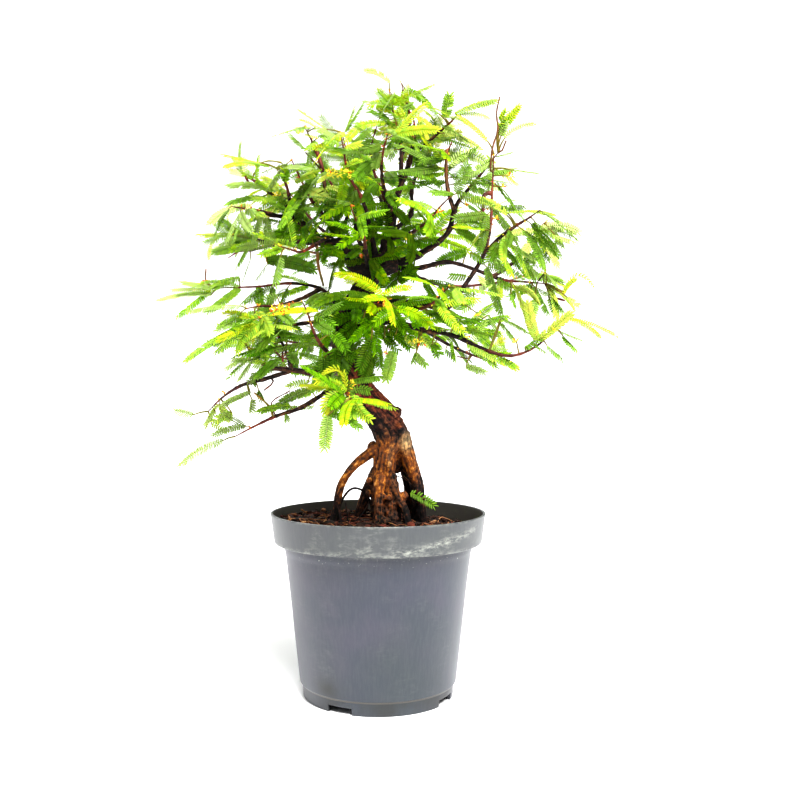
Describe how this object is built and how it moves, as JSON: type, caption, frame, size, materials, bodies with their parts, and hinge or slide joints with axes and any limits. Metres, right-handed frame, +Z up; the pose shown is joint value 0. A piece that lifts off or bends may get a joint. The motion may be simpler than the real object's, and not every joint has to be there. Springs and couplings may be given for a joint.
{
  "type": "calliandra pre-bonsai",
  "caption": "Small leaning tree with arching surface roots, a spreading crown of feathery twice-divided leaves, and a plain round plastic nursery pot filled with potting mix.",
  "frame": {"origin": "middle of the pot's foot, at floor level, below the middle of the crown", "axes": "+Z up along the tree; +X to the right and -Y towards the viewer in the picture's view"},
  "size_m": [0.4048, 0.3791, 0.5974],
  "materials": {
    "pot_plastic": "grey recycled plastic, satin, scuffed and dusty on the collar",
    "potting_mix": "dark damp potting mix with bark chips and rootlets",
    "bark": "rough red-brown flaking bark, paler on the roots",
    "old_foliage": "dark green leaflets, slightly glossy above",
    "young_foliage": "bright yellow-green leaflets, thin and translucent"
  },
  "bodies": {
    "root": {"pot": "pot_plastic", "soil": "potting_mix", "wood": "bark", "shoot_left_upright": "old_foliage", "shoot_left_upright_stub": "young_foliage", "shoot_left": "young_foliage", "shoot_left_fork": "old_foliage", "shoot_left_high": "young_foliage", "shoot_left_high_outer": "old_foliage", "shoot_left_high_back": "young_foliage", "shoot_inner_back": "old_foliage", "shoot_upright_back": "young_foliage", "shoot_upright_front": "young_foliage", "shoot_upright_middle": "young_foliage", "shoot_leader": "old_foliage", "shoot_leader_left": "young_foliage", "shoot_leader_right": "old_foliage", "shoot_leader_top": "young_foliage", "shoot_inner_right": "old_foliage", "shoot_right_high": "young_foliage", "shoot_right_high_upright": "old_foliage", "shoot_right": "young_foliage", "shoot_right_upright": "old_foliage", "shoot_right_front": "young_foliage", "shoot_right_front_side": "young_foliage", "shoot_right_low": "young_foliage", "shoot_right_low_inner": "old_foliage", "shoot_right_back": "old_foliage", "shoot_low_left": "old_foliage", "shoot_low_left_hanging": "old_foliage", "shoot_lowest": "old_foliage", "shoot_low_left_front": "young_foliage", "shoot_middle_left": "young_foliage", "shoot_middle_left_high": "young_foliage", "shoot_middle_left_front": "young_foliage", "shoot_front": "young_foliage", "shoot_front_low": "young_foliage", "shoot_front_left": "young_foliage", "shoot_front_right": "young_foliage", "shoot_front_high": "old_foliage", "shoot_front_high_right": "young_foliage", "shoot_front_high_left": "old_foliage", "shoot_front_top": "young_foliage", "shoot_back": "old_foliage", "shoot_back_left": "young_foliage", "shoot_back_right": "young_foliage", "shoot_back_top": "young_foliage", "shoot_back_low": "old_foliage", "shoot_back_low_left": "old_foliage", "shoot_back_low_right": "young_foliage", "shoot_back_lowest": "old_foliage", "shoot_back_middle": "old_foliage", "shoot_foot": "young_foliage"}
  },
  "joints": []
}
